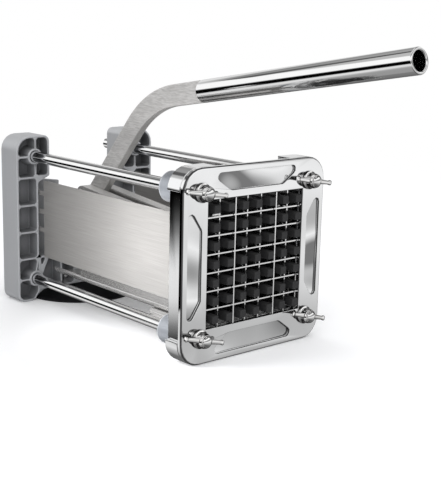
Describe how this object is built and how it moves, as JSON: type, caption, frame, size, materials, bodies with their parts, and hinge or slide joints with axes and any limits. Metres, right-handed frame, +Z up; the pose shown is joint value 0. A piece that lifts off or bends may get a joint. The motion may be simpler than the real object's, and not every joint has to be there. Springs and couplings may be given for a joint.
{
  "type": "french fry cutter",
  "caption": "Lever-operated potato cutter: two cast frames joined by tie rods, a blade grid, a feed trough, a peg pusher driven by a tubular handle and link, and a suction foot.",
  "frame": {"origin": "on the table, under the middle of the box around the whole machine at rest", "axes": "+Z up; the cut sticks leave towards -Y, so the blade frame and the handle's grip are at -Y and the rear frame at +Y; +X is the right-hand side seen from the front of the blade frame"},
  "size_m": [0.1356, 0.3998, 0.2176],
  "materials": {
    "cast_face": "smooth satin casting",
    "cast_frame": "satin casting",
    "blade_steel": "ground",
    "chrome": "polished",
    "brushed_steel": "brushed",
    "polished_steel": "polished",
    "spacer_alloy": "turned satin",
    "black_plastic": "moulded",
    "rubber": "matt"
  },
  "bodies": {
    "root": {"blade_frame": "cast_face", "upright_blade_1": "blade_steel", "upright_blade_2": "blade_steel", "upright_blade_3": "blade_steel", "upright_blade_4": "blade_steel", "upright_blade_5": "blade_steel", "upright_blade_6": "blade_steel", "level_blade_1": "blade_steel", "level_blade_2": "blade_steel", "level_blade_3": "blade_steel", "level_blade_4": "blade_steel", "level_blade_5": "blade_steel", "level_blade_6": "blade_steel", "tie_rod_top_left": "chrome", "tie_rod_top_right": "chrome", "tie_rod_bottom_left": "chrome", "tie_rod_bottom_right": "chrome", "rod_spacer_top_left": "spacer_alloy", "rod_spacer_top_right": "spacer_alloy", "rod_spacer_bottom_left": "spacer_alloy", "rod_spacer_bottom_right": "spacer_alloy", "rear_nut_top_left": "chrome", "rear_nut_top_right": "chrome", "rear_nut_bottom_left": "chrome", "rear_nut_bottom_right": "chrome", "rear_frame": "cast_frame", "side_panel_left": "brushed_steel", "side_panel_right": "brushed_steel", "feed_tray": "polished_steel", "tray_support": "polished_steel", "pivot_bolt": "chrome", "pivot_nut": "chrome", "suction_cup": "rubber"},
    "handle": {"handle_bar": "brushed_steel", "handle_grip": "chrome", "link_pin": "chrome"},
    "link": {"link": "brushed_steel"},
    "pusher": {"pusher_block": "black_plastic", "pusher_carriage": "brushed_steel", "pusher_pin": "chrome", "pusher_screw_1": "chrome", "pusher_screw_2": "chrome", "pusher_screw_3": "chrome", "pusher_screw_4": "chrome"},
    "wing_nut_top_left": {"wing_nut_top_left": "chrome"},
    "wing_nut_top_right": {"wing_nut_top_right": "chrome"},
    "wing_nut_bottom_left": {"wing_nut_bottom_left": "chrome"},
    "wing_nut_bottom_right": {"wing_nut_bottom_right": "chrome"},
    "suction_lever": {"suction_lever": "chrome"},
    "suction_stem": {"suction_stem": "chrome"}
  },
  "joints": [
    {"name": "handle_hinge", "type": "hinge", "parent": "root", "child": "handle", "pos_m": [0, 0.1759, 0.0285], "axis": [-1, 0, 0], "range_deg": [0, 90]},
    {"name": "link_hinge", "type": "hinge", "parent": "handle", "child": "link", "pos_m": [0, 0.12672, 0.08446], "axis": [1, 0, 0], "range_deg": [0, 87.29]},
    {"name": "pusher_slide", "type": "slide", "parent": "root", "child": "pusher", "axis": [0, 1, 0], "range_m": [0, 0.10463]},
    {"name": "wing_nut_top_left_turn", "type": "hinge", "parent": "root", "child": "wing_nut_top_left", "pos_m": [-0.05, -0.0671, 0.1185], "axis": [0, -1, 0], "continuous": true},
    {"name": "wing_nut_top_right_turn", "type": "hinge", "parent": "root", "child": "wing_nut_top_right", "pos_m": [0.05, -0.0671, 0.1185], "axis": [0, -1, 0], "continuous": true},
    {"name": "wing_nut_bottom_left_turn", "type": "hinge", "parent": "root", "child": "wing_nut_bottom_left", "pos_m": [-0.05, -0.0671, 0.0185], "axis": [0, -1, 0], "continuous": true},
    {"name": "wing_nut_bottom_right_turn", "type": "hinge", "parent": "root", "child": "wing_nut_bottom_right", "pos_m": [0.05, -0.0671, 0.0185], "axis": [0, -1, 0], "continuous": true},
    {"name": "suction_lever_hinge", "type": "hinge", "parent": "root", "child": "suction_lever", "pos_m": [0, 0.1509, 0.0145], "axis": [1, 0, 0], "range_deg": [0, 65]},
    {"name": "suction_stem_slide", "type": "slide", "parent": "root", "child": "suction_stem", "axis": [0, 0, -1], "range_m": [0, 0.00087]}
  ],
  "couplings": [
    {"joint": "link_hinge", "follows": "handle_hinge", "ratio": 0.96986},
    {"joint": "pusher_slide", "follows": "handle_hinge", "m_per_rad": 0.066607},
    {"joint": "suction_stem_slide", "follows": "suction_lever_hinge", "m_per_rad": 0.00076342}
  ]
}
